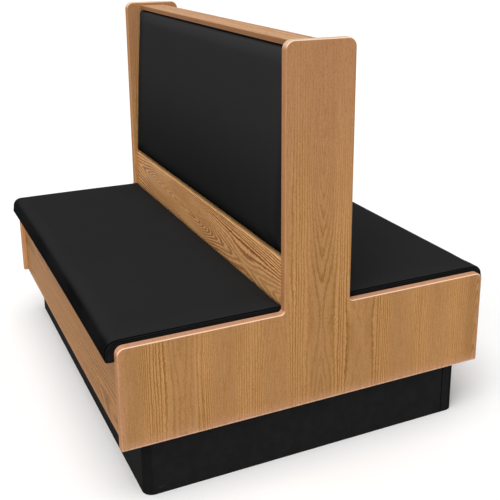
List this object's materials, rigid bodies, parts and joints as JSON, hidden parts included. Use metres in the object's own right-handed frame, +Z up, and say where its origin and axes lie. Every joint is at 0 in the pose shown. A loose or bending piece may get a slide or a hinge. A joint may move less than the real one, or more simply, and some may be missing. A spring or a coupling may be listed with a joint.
{
  "type": "restaurant booth seating",
  "caption": "Double back-to-back restaurant booth with oak end panels, black vinyl seat cushions and back pads, an oak cap rail and a recessed black plinth.",
  "frame": {"origin": "centre of the plinth's footprint on the floor, under the middle of the booth", "axes": "+X along the bench from the left to the right end panel, +Y from the front seat to the rear seat, +Z up"},
  "size_m": [1.36, 1.1618, 1.168],
  "materials": {
    "oak": "satin lacquered oak veneer",
    "plinth_laminate": "matte black laminate",
    "black_vinyl": "fine-grained black upholstery vinyl",
    "foam": "open-cell upholstery foam",
    "frame_plywood": "bare birch plywood"
  },
  "bodies": {
    "root": {"apron_front": "oak", "apron_rear": "oak", "back_board_front": "frame_plywood", "back_board_rear": "frame_plywood", "back_cover_front": "black_vinyl", "back_cover_rear": "black_vinyl", "back_foam_front": "foam", "back_foam_rear": "foam", "back_rib_1": "frame_plywood", "back_rib_2": "frame_plywood", "back_rib_3": "frame_plywood", "back_rib_left": "frame_plywood", "back_rib_right": "frame_plywood", "cap_rail": "oak", "end_panel_left": "oak", "end_panel_right": "oak", "lower_back_panel_front": "oak", "lower_back_panel_rear": "oak", "plinth_board_front": "plinth_laminate", "plinth_board_rear": "plinth_laminate", "plinth_corner_front_left": "plinth_laminate", "plinth_corner_front_right": "plinth_laminate", "plinth_corner_rear_left": "plinth_laminate", "plinth_corner_rear_right": "plinth_laminate", "plinth_cross_1": "frame_plywood", "plinth_cross_2": "frame_plywood", "plinth_cross_3": "frame_plywood", "plinth_end_left": "plinth_laminate", "plinth_end_right": "plinth_laminate", "seat_board_front": "frame_plywood", "seat_board_rear": "frame_plywood", "seat_cleat_front_left": "frame_plywood", "seat_cleat_front_right": "frame_plywood", "seat_cleat_rear_left": "frame_plywood", "seat_cleat_rear_right": "frame_plywood", "seat_cover_front": "black_vinyl", "seat_cover_rear": "black_vinyl", "seat_foam_front": "foam", "seat_foam_rear": "foam", "seat_rib_front_1": "frame_plywood", "seat_rib_front_2": "frame_plywood", "seat_rib_front_3": "frame_plywood", "seat_rib_rear_1": "frame_plywood", "seat_rib_rear_2": "frame_plywood", "seat_rib_rear_3": "frame_plywood", "sole_batten_front": "frame_plywood", "sole_batten_left": "frame_plywood", "sole_batten_rear": "frame_plywood", "sole_batten_right": "frame_plywood", "top_batten": "frame_plywood"}
  },
  "joints": []
}
